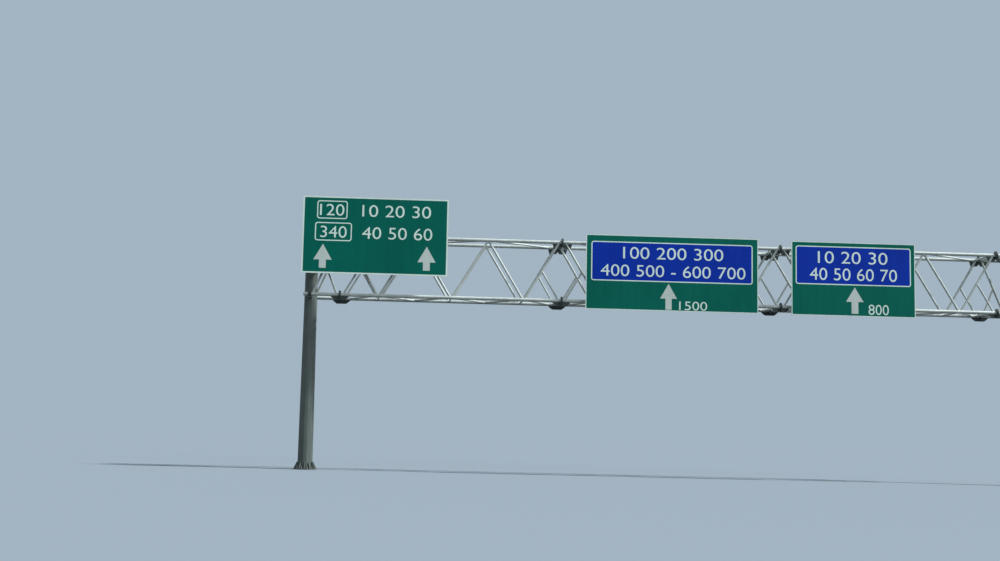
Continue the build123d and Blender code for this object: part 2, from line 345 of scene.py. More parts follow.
# %% Film and sheet finishes
def film(name, colour):
    """Reflective film in one colour, with faint dust."""
    material, tree, shader, place = new_material(name)
    faded = ramp(tree, noise(tree, place, 0.7), 0.3, 0.7, shade(colour, 0.93), shade(colour, 1.05))
    dust = marks(tree, stretched(tree, place, (7, 7, 0.5)), 1.0, 4.0, 0.3, 0.6, 0.84)
    set_inputs(shader, {
        "Base Color": multiplied(tree, faded, dust, 0.6),
        "Roughness": spread(tree, noise(tree, place, 3.0), 0.42, 0.56),
        "Normal": bumped(tree, cells(tree, place, 260.0, "Distance"), 0.06, 0.0005),
        "Specular IOR Level": 0.05,
    })
    return material


def mill_sheet(name, colour):
    """Bare aluminium sheet with the marks of rolling along X."""
    material, tree, shader, place = new_material(name)
    lines = noise(tree, stretched(tree, place, (2, 160, 160)), 1.0)
    tone = ramp(tree, lines, 0.3, 0.7, shade(colour, 0.88), shade(colour, 1.06))
    patches = marks(tree, place, 1.1, 4.0, 0.35, 0.65, 0.84)
    set_inputs(shader, {
        "Base Color": multiplied(tree, tone, patches, 0.8),
        "Roughness": spread(tree, lines, 0.34, 0.5),
        "Normal": bumped(tree, lines, 0.05, 0.0005),
        "Metallic": 0.4,
    })
    return material


green_film = film("green_film", (0.0016, 0.137, 0.105))
blue_film = film("blue_film", (0.0036, 0.037, 0.42))
white_film = film("white_film", (0.73, 0.92, 0.88))
arrow_film = film("arrow_film", (0.56, 0.67, 0.66))
bare_sheet = mill_sheet("bare_sheet", (0.56, 0.58, 0.585))
print("film and sheet finishes made")

# %% [markdown]
# ## Tubes and how they meet
#
# A tube between two points is a cylinder turned to the line between them. Where one tube lands on
# another, the shop cuts its end to the curve of the other tube and runs a weld round it. Cutting
# every end with a boolean would be slow and leave poor faces. Instead the tube runs on, unseen, to
# the other's centre line, and only the weld follows the curve: a small bead is spun round the tube
# and each of its points slides along the tube until it rests on the other one.

# %% A tube and a spun ring
along_x = Vector((1, 0, 0))


def turned_to(start, direction):
    """A place at start with its Z axis along a direction."""
    turn = direction.to_track_quat("Z", "Y").to_matrix().to_4x4()
    return Matrix.Translation(start) @ turn


def add_tube(bm, start, end, diameter, sides=tube_sides, end_diameter=None):
    """A closed round tube between two points, which tapers where its end has a diameter of its own."""
    run = end - start
    bmesh.ops.create_cone(
        bm, cap_ends=True, segments=sides, radius1=diameter / 2, radius2=(end_diameter or diameter) / 2,
        depth=run.length, matrix=turned_to((start + end) / 2, run),
    )


def spin_profile(bm, corners, centre, axis, steps):
    """Spin a closed profile, given as points, a full turn round an axis."""
    verts = [bm.verts.new(corner) for corner in corners]
    edges = [bm.edges.new((verts[i - 1], verts[i])) for i in range(len(verts))]
    bmesh.ops.spin(
        bm, geom=verts + edges, cent=centre, axis=axis, angle=2 * math.pi, steps=steps, use_merge=True
    )


print("a tube has", tube_sides, "sides, a chord", chord_sides)

# %% A weld bead
bead_size = 0.011
bead_profile = [(-0.3, -0.3), (1.0, -0.1), (0.62, 0.62), (-0.3, 1.0)]


def distance_to_host(point, direction, host_point, host_axis, host_radius):
    """How far a point slides along a direction until it lies on the host tube."""
    offset = point - host_point
    offset -= offset.dot(host_axis) * host_axis
    across = direction - direction.dot(host_axis) * host_axis
    half = offset.dot(across)
    square = across.length_squared
    root = math.sqrt(max(0.0, half**2 - square * (offset.length_squared - host_radius**2)))
    return (root - half) / square


def add_weld(bm, start, end, diameter, host_axis, host_diameter, bead=bead_size):
    """A weld round a tube where it leaves the host tube, whose centre line passes through start."""
    direction = (end - start).normalized()
    place = turned_to(start, direction)
    ring = bmesh.new()
    corners = [place @ Vector((diameter / 2 + out * bead, 0, up * bead)) for out, up in bead_profile]
    spin_profile(ring, corners, start, direction, tube_sides)
    for vert in ring.verts:
        rise = (vert.co - start).dot(direction)
        level = vert.co - rise * direction
        slide = distance_to_host(level, direction, start, host_axis, host_diameter / 2)
        vert.co = level + (slide + rise) * direction
    join(bm, ring)


def add_welded_tube(bm, start, end, diameter):
    """A tube between two chords, with a weld at each end."""
    add_tube(bm, start, end, diameter)
    add_weld(bm, start, end, diameter, along_x, chord_diameter)
    add_weld(bm, end, start, diameter, along_x, chord_diameter)


print("a weld bead has", tube_sides * len(bead_profile), "faces")

# %% [markdown]
# ## Plates
#
# Gussets, keels, arrows and films are all flat shapes with a thickness. Each starts as one face in
# the XZ plane, drawn with its few corners, and is extruded along Y. A fine bevel takes the razor
# edge off: real plate has broken edges, and these catch the light.

# %% A plate from its outline
plate_thickness = 0.014
plate_bevel = 0.0015


def move_new(bm, made, offset):
    """Move the points that an operator has just made, and return them."""
    points = [item for item in made["geom"] if isinstance(item, bmesh.types.BMVert)]
    bmesh.ops.translate(bm, vec=offset, verts=points)
    return points


def round_off(bm, geom, width, segments, affect="EDGES"):
    """Bevel edges or corners with a round profile."""
    bmesh.ops.bevel(
        bm, geom=geom, offset=width, segments=segments, profile=0.5, affect=affect, material=-1
    )


def thicken(part, along_y):
    """Extrude flat faces along Y into a closed plate."""
    grown = bmesh.ops.extrude_face_region(part, geom=part.faces[:], use_keep_orig=True)
    move_new(part, grown, (0, along_y, 0))


def add_plate(bm, outline, front, back, bevel=0.0):
    """A plate from its corners in X and Z, between two values of Y."""
    part = bmesh.new()
    part.faces.new([part.verts.new((x, front, z)) for x, z in outline])
    thicken(part, back - front)
    if bevel > 0:
        round_off(part, part.edges[:], bevel, 1)
    join(bm, part)


print("plate", plate_thickness, "thick with edges broken by", plate_bevel)

# %% [markdown]
# ## Flanges, gussets and keels
#
# Where two sections meet, each chord ends in a thick round flange: a short cylinder with a bevelled
# rim, and a weld ring where the chord enters its back. An upright plate under the chord holds the
# flange straight. At the top chord it is a gusset, which also takes the diagonals, and at the bottom
# chord a shallower keel. The flange is drawn once, with its mating face at X = 0 and its back
# towards +X, and then stamped wherever a chord ends. The plates are drawn from their corners.

# %% One flange, its gusset and its keel
flange_diameter = 0.330
flange_thickness = 0.025
flange_sides = 48
rim_bevel = 0.002
ring_start = flange_thickness - 0.001
ring_end = flange_thickness + 0.011
ring_width = 0.010
gusset_outline = [(0, 0), (0.380, 0), (0.380, -0.0665), (0.330, -0.250), (0.070, -0.250), (0, -0.165)]
keel_outline = [(0, 0), (0.335, 0), (0.335, -0.090), (0.185, -0.205), (0, -0.205)]
chord_plates = ((top_height, gusset_outline), (bottom_height, keel_outline))


def flange_shape():
    """A flange with its mating face at X = 0 and the weld ring behind it."""
    bm = bmesh.new()
    add_tube(bm, 0 * along_x, flange_thickness * along_x, flange_diameter, flange_sides)
    rims = [edge for edge in bm.edges if edge.calc_face_angle() > crease_angle]
    round_off(bm, rims, rim_bevel, 2)
    foot = chord_diameter + 2 * ring_width
    tip = chord_diameter - 0.002
    add_tube(bm, ring_start * along_x, ring_end * along_x, foot, chord_sides, tip)
    return finished_mesh(bm, "flange")


flange = flange_shape()
print("flange", len(flange.polygons), "faces")


def add_chord_ends(bm, x, towards):
    """Flange, gusset and keel of the two chords where they end at x and run towards 1 or -1."""
    for height, outline in chord_plates:
        stamp(bm, flange, at(x, 0, height) @ Matrix.Scale(towards, 4, along_x))
        corners = [(x + towards * along, height + down) for along, down in outline]
        add_plate(bm, corners, -plate_thickness / 2, plate_thickness / 2, plate_bevel)


# %% [markdown]
# ## One truss face
#
# The front and the rear of every section are the same flat lattice: two chords, six diagonals that
# lean in pairs towards three lower joints, and a short strut at each end from the foot of the
# splice to the middle of the first diagonal. The tubes are one piece and the plates at the splices
# another, because the plates get a much darker zinc, which is painted shade. Both are built once,
# with the left splice at X = 0 and the plane at Y = 0, and stamped six times. The six still differ,
# because the zinc is read from object coordinates. A diagonal is written as X of its top and of its foot.

# %% Tubes and plates of a flat side
thin_bead_size = 0.008


def face_point(x, z):
    """A point in the plane of the face."""
    return Vector((x, 0, z))


def add_substrut(bm, foot_x, diagonal):
    """The short strut from the foot of a splice to the middle of a diagonal."""
    top = face_point(diagonal[0], top_height)
    bottom = face_point(diagonal[1], bottom_height)
    foot = face_point(foot_x, bottom_height)
    head = (top + bottom) / 2
    add_tube(bm, foot, head, brace_diameter)
    add_weld(bm, foot, head, brace_diameter, along_x, chord_diameter)
    lean = (top - bottom).normalized()
    add_weld(bm, head, foot, brace_diameter, lean, diagonal_diameter, thin_bead_size)


def side_tubes(start_x, end_x, diagonals, substruts, name):
    """The tubes of a flat side. A substrut is X of its foot and the diagonal that it props."""
    bm = bmesh.new()
    for z in (bottom_height, top_height):
        add_tube(bm, face_point(start_x, z), face_point(end_x, z), chord_diameter, chord_sides)
    for top_x, bottom_x in diagonals:
        foot = face_point(bottom_x, bottom_height)
        add_welded_tube(bm, foot, face_point(top_x, top_height), diagonal_diameter)
    for foot_x, diagonal in substruts:
        add_substrut(bm, foot_x, diagonal)
    return finished_mesh(bm, name)


def side_plates(ends, name):
    """The flanges, gussets and keels of a flat side, at each X where its chords end."""
    bm = bmesh.new()
    for x, towards in ends:
        add_chord_ends(bm, x, towards)
    return finished_mesh(bm, name)


def show_side(node, tubes, plates, place):
    """One flat side of the truss at its place: its tubes, and its plates in a zinc darkened with painted
    shade.
    """
    show_copies(tubes, [place], f"{node}_tubes", truss_zinc, [node])
    show_copies(plates, [place], f"{node}_plates", plate_zinc_painted_shade)


print("the bead at a short strut's head is", thin_bead_size, "high")

# %% Build the faces of the three sections
upper = upper_points(splice_top_offset)
section_diagonals = []
for panel, lower in enumerate(lower_points):
    section_diagonals.append((upper[panel], lower - bottom_node_offset))
    section_diagonals.append((upper[panel + 1], lower + bottom_node_offset))
section_substruts = [
    (splice_foot_offset, section_diagonals[0]),
    (section_length - splice_foot_offset, section_diagonals[-1]),
]
section_tubes = side_tubes(0, section_length, section_diagonals, section_substruts, "section_tubes")
section_plates = side_plates([(0, 1), (section_length, -1)], "section_plates")
for name, splice in zip(section_names, splices):
    for side, y in face_planes.items():
        show_side(f"{name}_{side}_face", section_tubes, section_plates, at(splice, y, 0))

# %% [markdown]
# ## The short bays at the posts
#
# Between a post and the first splice the chords run on through the collars of the post, with one
# steep diagonal. The right bay is the left one seen in a mirror. A mirror turns a mesh inside out,
# which is why the finished mesh has its normals worked out again.

# %% Build the end bays
end_diagonal = (end_bay_length - splice_top_offset, 0.115)
end_substruts = [(end_bay_length - splice_foot_offset, end_diagonal)]
end_turns = {"left": Matrix.Identity(4), "right": at(span, 0, 0) @ Matrix.Scale(-1, 4, along_x)}
end_tubes = side_tubes(-left_overhang, end_bay_length, [end_diagonal], end_substruts, "end_tubes")
end_plates = side_plates([(end_bay_length, -1)], "end_plates")
for name, turn in end_turns.items():
    for side, y in face_planes.items():
        show_side(f"{name}_end_{side}_face", end_tubes, end_plates, turn @ at(0, y, 0))

# %% [markdown]
# ## Bracing between the two faces
#
# The top plane has one long diagonal in each panel, running from chord to chord. The bottom plane
# has a cross bar at each lower joint and two braces that fan out from it. Near each splice a
# thicker strut joins the front chord to the rear one. Again one section is built and stamped. Each
# tube is written as its X at the front chord and its X at the rear one.

# %% Build the bracing
def level_tubes(braces, struts, heights, name):
    """Thin braces and thicker struts between the front and the rear chords, at each height."""
    bm = bmesh.new()
    for z in heights:
        for runs, diameter in ((braces, brace_diameter), (struts, diagonal_diameter)):
            for front_x, rear_x in runs:
                start = Vector((front_x, front_y, z))
                add_welded_tube(bm, start, Vector((rear_x, rear_y, z)), diameter)
    return finished_mesh(bm, name)


joints = upper_points(brace_setback)
top_braces = [(joints[0], joints[1]), (joints[2], joints[1]), (joints[2], joints[3])]
bottom_braces = []
for panel, lower in enumerate(lower_points):
    bottom_braces += [(lower, rear_x) for rear_x in (joints[panel], lower, joints[panel + 1])]
section_struts = [(x, x) for x in (end_strut_setback, section_length - end_strut_setback)]
end_struts = 2 * (end_bay_length - end_strut_setback,)
planes = {
    "top": level_tubes(top_braces, section_struts, [top_height], "top_bracing"),
    "bottom": level_tubes(bottom_braces, section_struts, [bottom_height], "bottom_bracing"),
}
for plane, shape in planes.items():
    for name, splice in zip(section_names, splices):
        node = f"{name}_{plane}_bracing"
        show_copies(shape, [at(splice, 0, 0)], f"{node}_tubes", truss_zinc, [node])
cross_tubes = level_tubes([], [end_struts], [bottom_height, top_height], "end_struts")
for name, turn in end_turns.items():
    node = f"{name}_end_struts"
    show_copies(cross_tubes, [turn], f"{node}_tubes", truss_zinc, [node])

# %% [markdown]
# ## Bolts
#
# A bolt seen from below is a hexagon on a washer, so a bolt here is a few short prisms in a row
# along its axis. A thread would never show. Each prism reads like a line of a parts list: from, to,
# radius, sides. Its few faces matter, because there are hundreds of copies.

# %% A bolt, a nut on a stud and a ring of bolts
def prisms(parts, name):
    """Short prisms along X. Each part is its start, its end, its radius and its number of sides."""
    bm = bmesh.new()
    for start, end, radius, sides in parts:
        add_tube(bm, start * along_x, end * along_x, 2 * radius, sides)
    return finished_mesh(bm, name)


def bolt_shape(grip, radius, name):
    """A bolt through plates that reach from X = -grip to X = grip."""
    washer = grip + 0.3 * radius
    head = washer + 1.3 * radius
    nut = washer + 1.6 * radius
    parts = [
        (-washer, -grip, 1.9 * radius, 14),
        (-head, -washer, 1.75 * radius, 6),
        (grip, washer, 1.9 * radius, 14),
        (washer, nut, 1.75 * radius, 6),
        (nut, nut + radius, radius, 8),
    ]
    return prisms(parts, name)


splice_bolt = bolt_shape(flange_thickness, 0.012, "splice_bolt")
splice_bolt_circle = 0.122
bolts_per_flange = 8

bolt_turns = [rotated(360 * (number + 0.5) / bolts_per_flange, "X") for number in range(bolts_per_flange)]
bolt_ring = [turn @ at(0, splice_bolt_circle, 0) for turn in bolt_turns]
for number, splice in enumerate(splices, 1):
    places = [at(splice, y, z) @ bolt for y, z in chord_lines for bolt in bolt_ring]
    show_copies(splice_bolt, places, f"splice_{number}_bolts", bolt_zinc)

# %% [markdown]
# ## Posts
#
# A post is folded from plate, so it has twelve flats and its folds are rounded by the press. Twelve
# points on a circle are extruded upwards and drawn in at the top. Bevelling only the upright edges
# gives the folds their radius, and solidify gives the plate its thickness.

# %% Build the post shafts
post_sides = 12
post_wall = 0.008
fold_radius = 0.022
facet = 360 / post_sides


def post_shape(low, high, foot_width, top_width):
    """A tapered twelve-sided tube of folded plate. The widths are between flats, which face X and Y."""
    bm = bmesh.new()
    corner_radius = foot_width / 2 / math.cos(math.radians(facet / 2))
    place = at(0, 0, low) @ rotated(facet / 2, "Z")
    bmesh.ops.create_circle(bm, segments=post_sides, radius=corner_radius, matrix=place)
    grown = bmesh.ops.extrude_edge_only(bm, edges=bm.edges[:])
    top = move_new(bm, grown, (0, 0, high - low))
    shrink = top_width / foot_width
    bmesh.ops.scale(bm, vec=(shrink, shrink, 1), verts=top)
    folds = [edge for edge in bm.edges if abs(edge.verts[0].co.z - edge.verts[1].co.z) > 1]
    round_off(bm, folds, fold_radius, 3)
    bmesh.ops.recalc_face_normals(bm, faces=bm.faces)
    bmesh.ops.solidify(bm, geom=bm.faces[:], thickness=post_wall)
    return finished_mesh(bm, "post")


shaft_low, shaft_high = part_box("left_post_shaft")
post_foot_width = shaft_high.x - shaft_low.x
post_top_width = 0.455
post = post_shape(shaft_low.z, shaft_high.z, post_foot_width, post_top_width)
for name, turn in end_turns.items():
    node = f"{name}_post_shaft"
    # The post shafts take the post zinc, whose dark colour is painted shade.
    piece = show_copies(post, [turn], f"{node}_folded", post_zinc_painted_shade, [node])
    piece.modifiers.new("even_flats", "WEIGHTED_NORMAL")

# %% [markdown]
# ## Pieces that keep their solid shape
#
# Caps, base plates, ribs, brackets, stiffeners, rails and clamps are plain plate work, and the
# solid model already has them right. They only need a finish and softer edges. Their meshes come
# as loose triangles. A Weld modifier joins these, a planar Decimate makes whole flats of them, and a
# Bevel rounds what is sharp. On loose triangles the bevel would turn thin slivers over, which show
# as dark lines from hole to hole. Weighted normals keep the large flats even.

# %% Finish the carried-over pieces
def modify(piece, name, kind, **settings):
    """Add a modifier with its settings."""
    modifier = piece.modifiers.new(name, kind)
    for setting, value in settings.items():
        setattr(modifier, setting, value)


def keep(node, finish, edge):
    """Give a node of the solid model its finish and broken edges."""
    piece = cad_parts[node]
    for place in piece.material_slots:
        place.material = finish
    modify(piece, "joined", "WELD", merge_threshold=0.00005)
    modify(piece, "whole_flats", "DECIMATE", decimate_type="DISSOLVE", angle_limit=math.radians(1))
    sharp = math.radians(25)
    modify(piece, "broken_edges", "BEVEL", width=edge, segments=2, limit_method="ANGLE", angle_limit=sharp)
    modify(piece, "even_flats", "WEIGHTED_NORMAL")


post_edges = {"post_cap": 0.003, "base_plate": 0.002, "base_ribs": 0.002, "post_brackets": 0.003}
sign_edges = {
    "stiffeners": (bare_sheet, 0.0008),
    "rails": (rail_zinc, 0.0015),
    "clamps": (rail_zinc, 0.002),
}
# Caps, base plates, ribs and brackets take the post zinc, whose dark colour is painted shade.
for name in end_turns:
    for part, edge in post_edges.items():
        keep(f"{name}_{part}", post_zinc_painted_shade, edge)
for name in sign_names:
    for part, (finish, edge) in sign_edges.items():
        keep(f"{name}_sign_{part}", finish, edge)
print("kept", len(end_turns) * len(post_edges) + len(sign_names) * len(sign_edges), "nodes")

# %% [markdown]
# ## Collars
#
# At each post the chords are held by collars in two halves, bolted together through ears above and
# below. The ring is a profile spun round the chord. The ears are plates with a thin gap between
# them, which is where the halves are drawn together.

# %% One collar
collar_length = 0.140
collar_clearance = 0.0005
collar_thickness = 0.014
collar_lip = 0.002
ear_root = 0.012
ear_rise = 0.045
ear_depth = 0.036
split_gap = 0.006


def collar_shape():
    """A split collar round a chord at the origin, with its ears up and down."""
    bm = bmesh.new()
    inner = chord_radius + collar_clearance
    outer = chord_radius + collar_thickness
    half = collar_length / 2
    left_side = [(-half, inner), (-half, outer - collar_lip), (collar_lip - half, outer)]
    right_side = [(-x, radius) for x, radius in reversed(left_side)]
    corners = [(x, 0, radius) for x, radius in left_side + right_side]
    spin_profile(bm, corners, (0, 0, 0), along_x, chord_sides)
    for side in (-1, 1):
        for up in (-1, 1):
            low, high = sorted((up * (outer - ear_root), up * (outer + ear_rise)))
            ear = [(-half, low), (half, low), (half, high), (-half, high)]
            add_plate(bm, ear, side * split_gap / 2, side * ear_depth / 2, collar_lip)
    return finished_mesh(bm, "collar")


collar = collar_shape()
print("collar", len(collar.polygons), "faces")

# %% Place and bolt the collars
collar_bolt_inset = 0.040
collar_places = [at(0, y, z) for y, z in chord_lines]
collar_bolt = bolt_shape(ear_depth / 2, 0.010, "collar_bolt")
collar_bolt_height = chord_radius + collar_thickness + ear_rise / 2
collar_bolt_places = []
for y, z in chord_lines:
    outwards = rotated(math.copysign(90, y), "Z")
    for x in (-collar_bolt_inset, collar_bolt_inset):
        for rise in (-collar_bolt_height, collar_bolt_height):
            collar_bolt_places.append(at(x, y, z + rise) @ outwards)


def show_at_post(shape, places, name, finish, replaced=()):
    """Copies of a shape at their places round the left post, or round the right one in a mirror."""
    turn = end_turns[name.split("_")[0]]
    show_copies(shape, [turn @ place for place in places], name, finish, replaced)


for name in end_turns:
    node = f"{name}_chord_collars"
    # The collars take the plate zinc, whose dark colour is painted shade.
    show_at_post(collar, collar_places, f"{node}_split", plate_zinc_painted_shade, [node])
    show_at_post(collar_bolt, collar_bolt_places, f"{name}_collar_bolts", bolt_zinc)

# %% [markdown]
# ## Anchors
#
# Twelve anchor rods come up through the base plate, one between every two ribs. Each has a wide
# washer, a nut and a lock nut. The same prism helper makes them, turned upright.

# %% Build the anchors
anchor_circle_radius = 0.390
anchor_parts = [
    (0.0, 0.006, 0.036, 20),
    (0.006, 0.035, 0.031, 6),
    (0.037, 0.054, 0.031, 6),
    (-0.039, 0.095, 0.018, 16),
]
upright = at(anchor_circle_radius, 0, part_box("left_base_plate")[1].z) @ rotated(-90, "Y")
anchor_places = [rotated(facet * (number + 0.5), "Z") @ upright for number in range(post_sides)]
anchor = prisms(anchor_parts, "anchor")
for name in end_turns:
    show_at_post(anchor, anchor_places, f"{name}_anchors", bolt_zinc)

# %% [markdown]
# ## Sign panels
#
# A panel is a tray: an aluminium sheet with its four edges folded back. A cube without its back
# face, thickened inwards, has just that shape. Its front is set back by the thickness of the films
# that will cover it, so that the finished sign is exactly as deep as the solid model's.

# %% Build the trays
film_thickness = 0.001
film_layers = 3
sheet_thickness = 0.003
tray_corner = 0.006
panel_boxes = {name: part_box(f"{name}_sign_panel") for name in sign_names}


def tray_shape(low, high):
    """A sheet with folded edges between two corners, open at the back."""
    bm = bmesh.new()
    size = high - low
    place = Matrix.Translation((high + low) / 2) @ Matrix.Diagonal((*size, 1))
    bmesh.ops.create_cube(bm, size=1, matrix=place)
    back = [face for face in bm.faces if face.normal.y > 0.9]
    bmesh.ops.delete(bm, geom=back, context="FACES")
    corners = [edge for edge in bm.edges if abs(edge.verts[0].co.y - edge.verts[1].co.y) > size.y / 2]
    round_off(bm, corners, tray_corner, 3)
    bmesh.ops.recalc_face_normals(bm, faces=bm.faces)
    bmesh.ops.solidify(bm, geom=bm.faces[:], thickness=sheet_thickness)
    return bm


for name, (low, high) in panel_boxes.items():
    front = low + Vector((0, film_layers * film_thickness, 0))
    tray = tray_shape(front, high)
    show(tray, f"{name}_sign_tray", bare_sheet, [f"{name}_sign_panel"])

# %% [markdown]
# ## Film
#
# The film lies in three layers: the ground colour with a white line round it, then the blue fields,
# outlines and arrows, then the numbers. Each layer is one millimetre in front of the last, so no two
# faces share a place. Rounded corners come from a vertex bevel on a rectangle. An outline is the
# same rectangle with its middle inset and taken away, which works while the line is narrower than
# the corner's radius, or the corner is square. A field is given by its left side, its top, its width
# and its height.

# %% Rounded fields, outlines and arrows
corner_segments = 6


def add_field(bm, field, radius, front, back, line=0.0):
    """A rectangle with round corners, or only its outline where line is its width."""
    left, top, width, height = field
    part = bmesh.new()
    centre = at(left + width / 2, back, top - height / 2)
    stretch = rotated(90, "X") @ Matrix.Diagonal((width, height, 1, 1))
    bmesh.ops.create_grid(part, x_segments=1, y_segments=1, size=0.5, matrix=centre @ stretch)
    if radius > 0:
        round_off(part, part.verts[:], radius, corner_segments, "VERTICES")
    if line > 0:
        inner = part.faces[:]
        bmesh.ops.inset_region(part, faces=inner, thickness=line, use_boundary=True, use_even_offset=True)
        bmesh.ops.delete(part, geom=inner, context="FACES")
    thicken(part, front - back)
    join(bm, part)


def narrowed(field, edge):
    """A field that is smaller by the same edge on all its sides."""
    left, top, width, height = field
    return left + edge, top - edge, width - 2 * edge, height - 2 * edge


def add_arrow(bm, x, heights, widths, front, back):
    """An arrow that points up: Z of its tip, its head's base and its foot, widths of head and shaft."""
    tip, base, foot = heights
    head, shaft = [width / 2 for width in widths]
    right_side = [(shaft, foot), (shaft, base), (head, base)]
    left_side = [(-across, z) for across, z in reversed(right_side)]
    outline = [(0, tip), *left_side, *right_side]
    add_plate(bm, [(x + across, z) for across, z in outline], front, back)


print("a rounded corner has", corner_segments, "segments")

# %% [markdown]
# ## Numbers
#
# Each line of a sign is a row of plain numbers. Its place in the layout gives its height and its
# length, so that each panel keeps its balance. A text object gives the outlines of the digits; it
# becomes a mesh first, and its own box is then scaled to the line's box. Such a mesh has its
# fronts, backs and sides apart, so its doubles are merged to close it.

# %% Numbers as a mesh
stroke_gain = -0.003
merge_distance = 0.00001


def numbers_shape(text):
    """The digits of a text as a solid mesh, one unit wide, high and deep, from its lower left corner."""
    curve = bpy.data.curves.new("numbers", "FONT")
    curve.body = text
    curve.offset = stroke_gain
    curve.extrude = 0.5
    curve.resolution_u = 8
    holder = add_object("numbers", curve)
    seen = holder.evaluated_get(bpy.context.evaluated_depsgraph_get())
    mesh = bpy.data.meshes.new_from_object(seen)
    bpy.data.objects.remove(holder)
    xs = [vert.co.x for vert in mesh.vertices]
    ys = [vert.co.y for vert in mesh.vertices]
    low = Vector((min(xs), min(ys), -curve.extrude))
    shrink = Matrix.Diagonal((1 / (max(xs) - low.x), 1 / (max(ys) - low.y), 1, 1))
    mesh.transform(shrink @ Matrix.Translation(-low))
    return mesh


def add_numbers(bm, text, field, front, back):
    """Digits that fill a field, standing up and facing the reader."""
    left, top, width, height = field
    size = Matrix.Diagonal((width, height, back - front, 1))
    stamp(bm, numbers_shape(text), at(left, back, top - height) @ rotated(90, "X") @ size)


print("doubles merge within", merge_distance * 1000, "mm")

# %% [markdown]
# ## What is on each panel
#
# All places are measured from the upper left corner of a panel, to the right and down, in metres,
# as a sign maker's drawing gives them. `edge` is the width of the white line round the panel.
# Outlines, fields and numbers have a left side, a top, a width and a height. An arrow has the X of
# its middle, the depths of its tip, the base of its head and its foot, and the widths of head and
# shaft. The left panel has two route boxes, two lines and two arrows. The other two have a blue
# field with two lines, one arrow and a distance.

# %% Layouts
outline_width = 0.040
field_radius = 0.10

layouts = {
    "left": {
        "edge": 0.055,
        "outlines": [(0.533, 0.163, 1.156, 0.704), (0.474, 1.001, 1.400, 0.712)],
        "fields": [],
        "numbers": {
            "120": (0.640, 0.297, 0.925, 0.440),
            "340": (0.680, 1.142, 1.000, 0.444),
            "10 20 30": (2.251, 0.292, 2.626, 0.455),
            "40 50 60": (2.268, 1.143, 2.677, 0.457),
        },
        "arrows": [(0.797, 1.835, 2.440, 2.758, 0.695, 0.262), (4.750, 1.835, 2.440, 2.758, 0.695, 0.262)],
    },
    "middle": {
        "edge": 0.028,
        "outlines": [],
        "fields": [(0.199, 0.251, 6.242, 1.525)],
        "numbers": {
            "100 200 300": (1.424, 0.450, 3.876, 0.455),
            "400 500 - 600 700": (0.567, 1.138, 5.595, 0.450),
            "1500": (3.600, 2.496, 1.080, 0.336),
        },
        "arrows": [(3.190, 1.832, 2.406, 2.832, 0.650, 0.242)],
    },
    "right": {
        "edge": 0.028,
        "outlines": [],
        "fields": [(0.158, 0.164, 4.500, 1.498)],
        "numbers": {
            "10 20 30": (1.026, 0.361, 2.720, 0.467),
            "40 50 60 70": (0.708, 1.012, 3.405, 0.470),
            "800": (2.988, 2.388, 0.790, 0.393),
        },
        "arrows": [(2.458, 1.736, 2.300, 2.757, 0.684, 0.268)],
    },
}
print("laid out:", *layouts)

# %% Build the films
films = {
    "green_film": (green_film, "sign_green"),
    "edge_line": (white_film, "sign_white"),
    "blue_field": (blue_film, "sign_blue"),
    "outlines": (white_film, "sign_white"),
    "arrows": (arrow_film, "sign_white"),
    "numbers": (white_film, "sign_white"),
}


def build_signs(name):
    """All films of one panel, one piece for each colour and kind."""
    low, high = panel_boxes[name]
    layout = layouts[name]
    edge = layout["edge"]
    level = [low.y + film_thickness * (film_layers - layer) for layer in range(film_layers + 1)]
    parts = {kind: bmesh.new() for kind in films}

    def on_panel(field):
        return low.x + field[0], high.z - field[1], *field[2:]

    whole = (low.x, high.z, high.x - low.x, high.z - low.z)
    add_field(parts["green_film"], narrowed(whole, edge), 0, level[1], level[0])
    add_field(parts["edge_line"], whole, 0, level[1], level[0], edge)
    for field in layout["fields"]:
        inside = narrowed(on_panel(field), outline_width)
        add_field(parts["blue_field"], inside, field_radius - outline_width, level[2], level[1])
    for field in layout["fields"] + layout["outlines"]:
        add_field(parts["outlines"], on_panel(field), field_radius, level[2], level[1], outline_width)
    for x, *depths, head, shaft in layout["arrows"]:
        heights = [high.z - depth for depth in depths]
        add_arrow(parts["arrows"], low.x + x, heights, (head, shaft), level[2], level[1])
    for text, field in layout["numbers"].items():
        add_numbers(parts["numbers"], text, on_panel(field), level[3], level[1])
    bmesh.ops.remove_doubles(parts["numbers"], verts=parts["numbers"].verts[:], dist=merge_distance)
    for kind, (finish, slot) in films.items():
        if parts[kind].faces:
            show(parts[kind], f"{name}_sign_{kind}", finish)
        else:
            parts[kind].free()


for name in sign_names:
    build_signs(name)

# %% [markdown]
# ## U-bolts
#
# The clamps behind the panels are held to the tubes by U-bolts. A round bar is spun half a turn
# behind the tube, and its two legs are extruded forward through the clamp. The discs that the legs
# grew from are taken out of the bar again. The shape is drawn for a tube along X at the origin, and
# turned for the ones that grip a diagonal.

# %% One U-bolt
rod_radius = 0.006
rod_sides = 8
rod_clearance = 0.0005
bend_steps = 12
clamp_plate = 0.010
leg_past_clamp = 0.030
to_front = rotated(-90, "Z")
nut = prisms([(0, 0.002, 0.012, 12), (0.002, 0.012, 0.0105, 6)], "nut")


